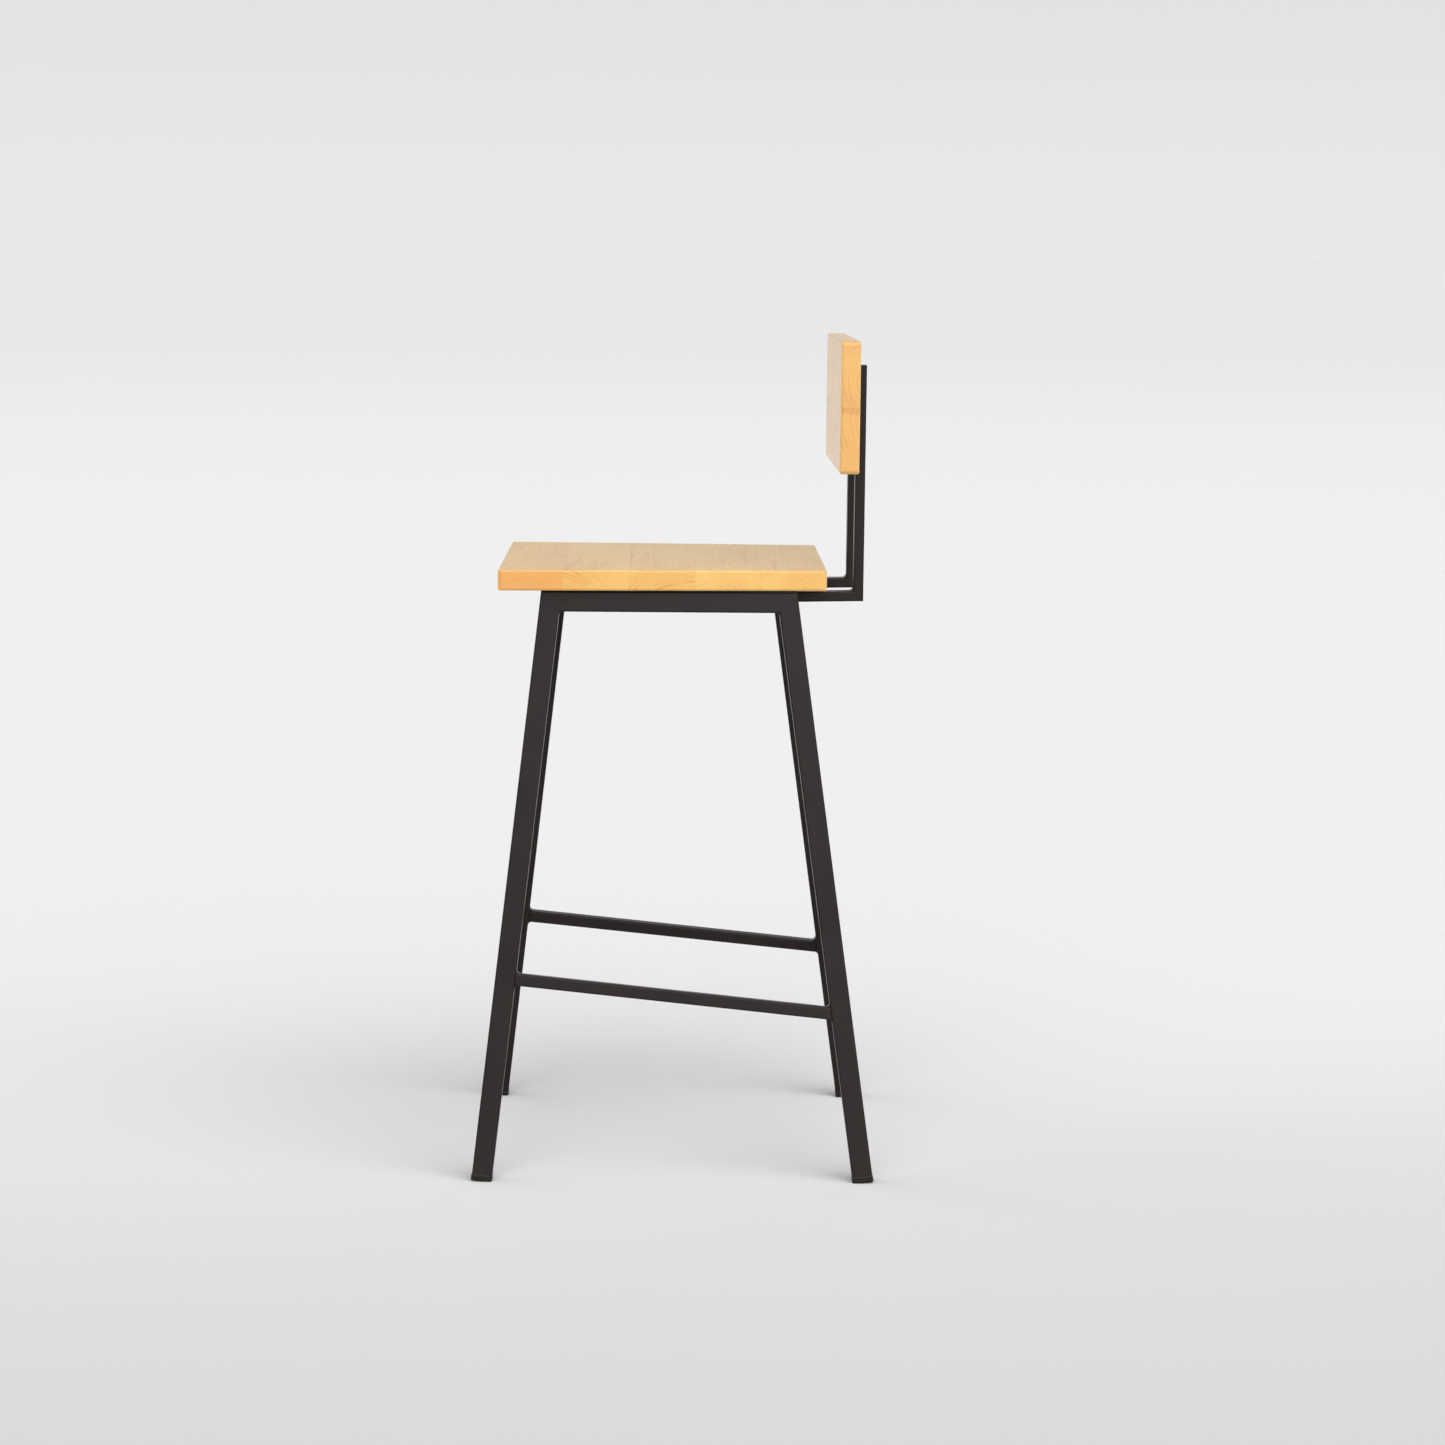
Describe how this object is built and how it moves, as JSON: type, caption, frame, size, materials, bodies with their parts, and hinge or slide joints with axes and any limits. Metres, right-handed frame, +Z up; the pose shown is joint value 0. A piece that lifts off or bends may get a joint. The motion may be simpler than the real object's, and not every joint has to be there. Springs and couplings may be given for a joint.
{
  "type": "bar stool",
  "caption": "Bar stool with a splayed dark steel frame, a footrest of steel bars, and a wooden seat and backrest.",
  "frame": {"origin": "on the floor, in the middle of the footprint of the four feet", "axes": "+Z up, the front of the stool faces -Y, +X towards the sitter's left"},
  "size_m": [0.5012, 0.4953, 1.0301],
  "materials": {
    "frame_paint": "satin",
    "seat_wood": "satin",
    "foot_plastic": "matte",
    "zinc_screws": "satin",
    "black_screws": "satin"
  },
  "bodies": {
    "root": {"left_front_leg": "frame_paint", "left_rear_leg": "frame_paint", "right_front_leg": "frame_paint", "right_rear_leg": "frame_paint", "left_side_rail": "frame_paint", "right_side_rail": "frame_paint", "front_cross_rail": "frame_paint", "rear_cross_rail": "frame_paint", "left_side_stretcher": "frame_paint", "right_side_stretcher": "frame_paint", "front_footrest_bar": "frame_paint", "rear_footrest_bar": "frame_paint", "left_support_arm": "frame_paint", "right_support_arm": "frame_paint", "left_back_post": "frame_paint", "right_back_post": "frame_paint", "side_frame_welds": "frame_paint", "stretcher_welds": "frame_paint", "footrest_bar_welds": "frame_paint", "cross_rail_welds": "frame_paint", "back_support_welds": "frame_paint", "left_seat_strip": "frame_paint", "right_seat_strip": "frame_paint", "seat_screws": "zinc_screws", "backrest_screws": "black_screws", "left_front_foot": "foot_plastic", "left_rear_foot": "foot_plastic", "right_front_foot": "foot_plastic", "right_rear_foot": "foot_plastic", "back_post_caps": "foot_plastic", "seat_stave_1": "seat_wood", "seat_stave_2": "seat_wood", "seat_stave_3": "seat_wood", "seat_stave_4": "seat_wood", "seat_stave_5": "seat_wood", "backrest_lower_stave": "seat_wood", "backrest_upper_stave": "seat_wood"}
  },
  "joints": []
}
